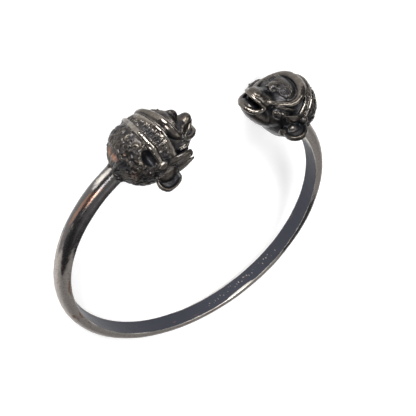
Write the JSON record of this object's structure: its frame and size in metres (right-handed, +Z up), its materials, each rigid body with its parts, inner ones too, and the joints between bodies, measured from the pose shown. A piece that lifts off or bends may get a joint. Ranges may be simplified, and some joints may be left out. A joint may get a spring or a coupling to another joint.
{
  "type": "monkey head cuff bracelet",
  "caption": "Open cuff bracelet with a monkey's head at each end of a flat-backed round-faced band, in dark worn metal.",
  "frame": {"origin": "on the surface that it rests on, under the middle of the whole cuff's box", "axes": "+Z up as it rests on its side, -Y looks into the gap, +X towards the head that sits nearer the band's own line"},
  "size_m": [0.0634, 0.0658, 0.0174],
  "materials": {
    "aged_metal": "cast low-silver alloy with a dark oxidised patina, worn bright and coppery on high points"
  },
  "bodies": {
    "root": {"cuff": "aged_metal"}
  },
  "joints": []
}
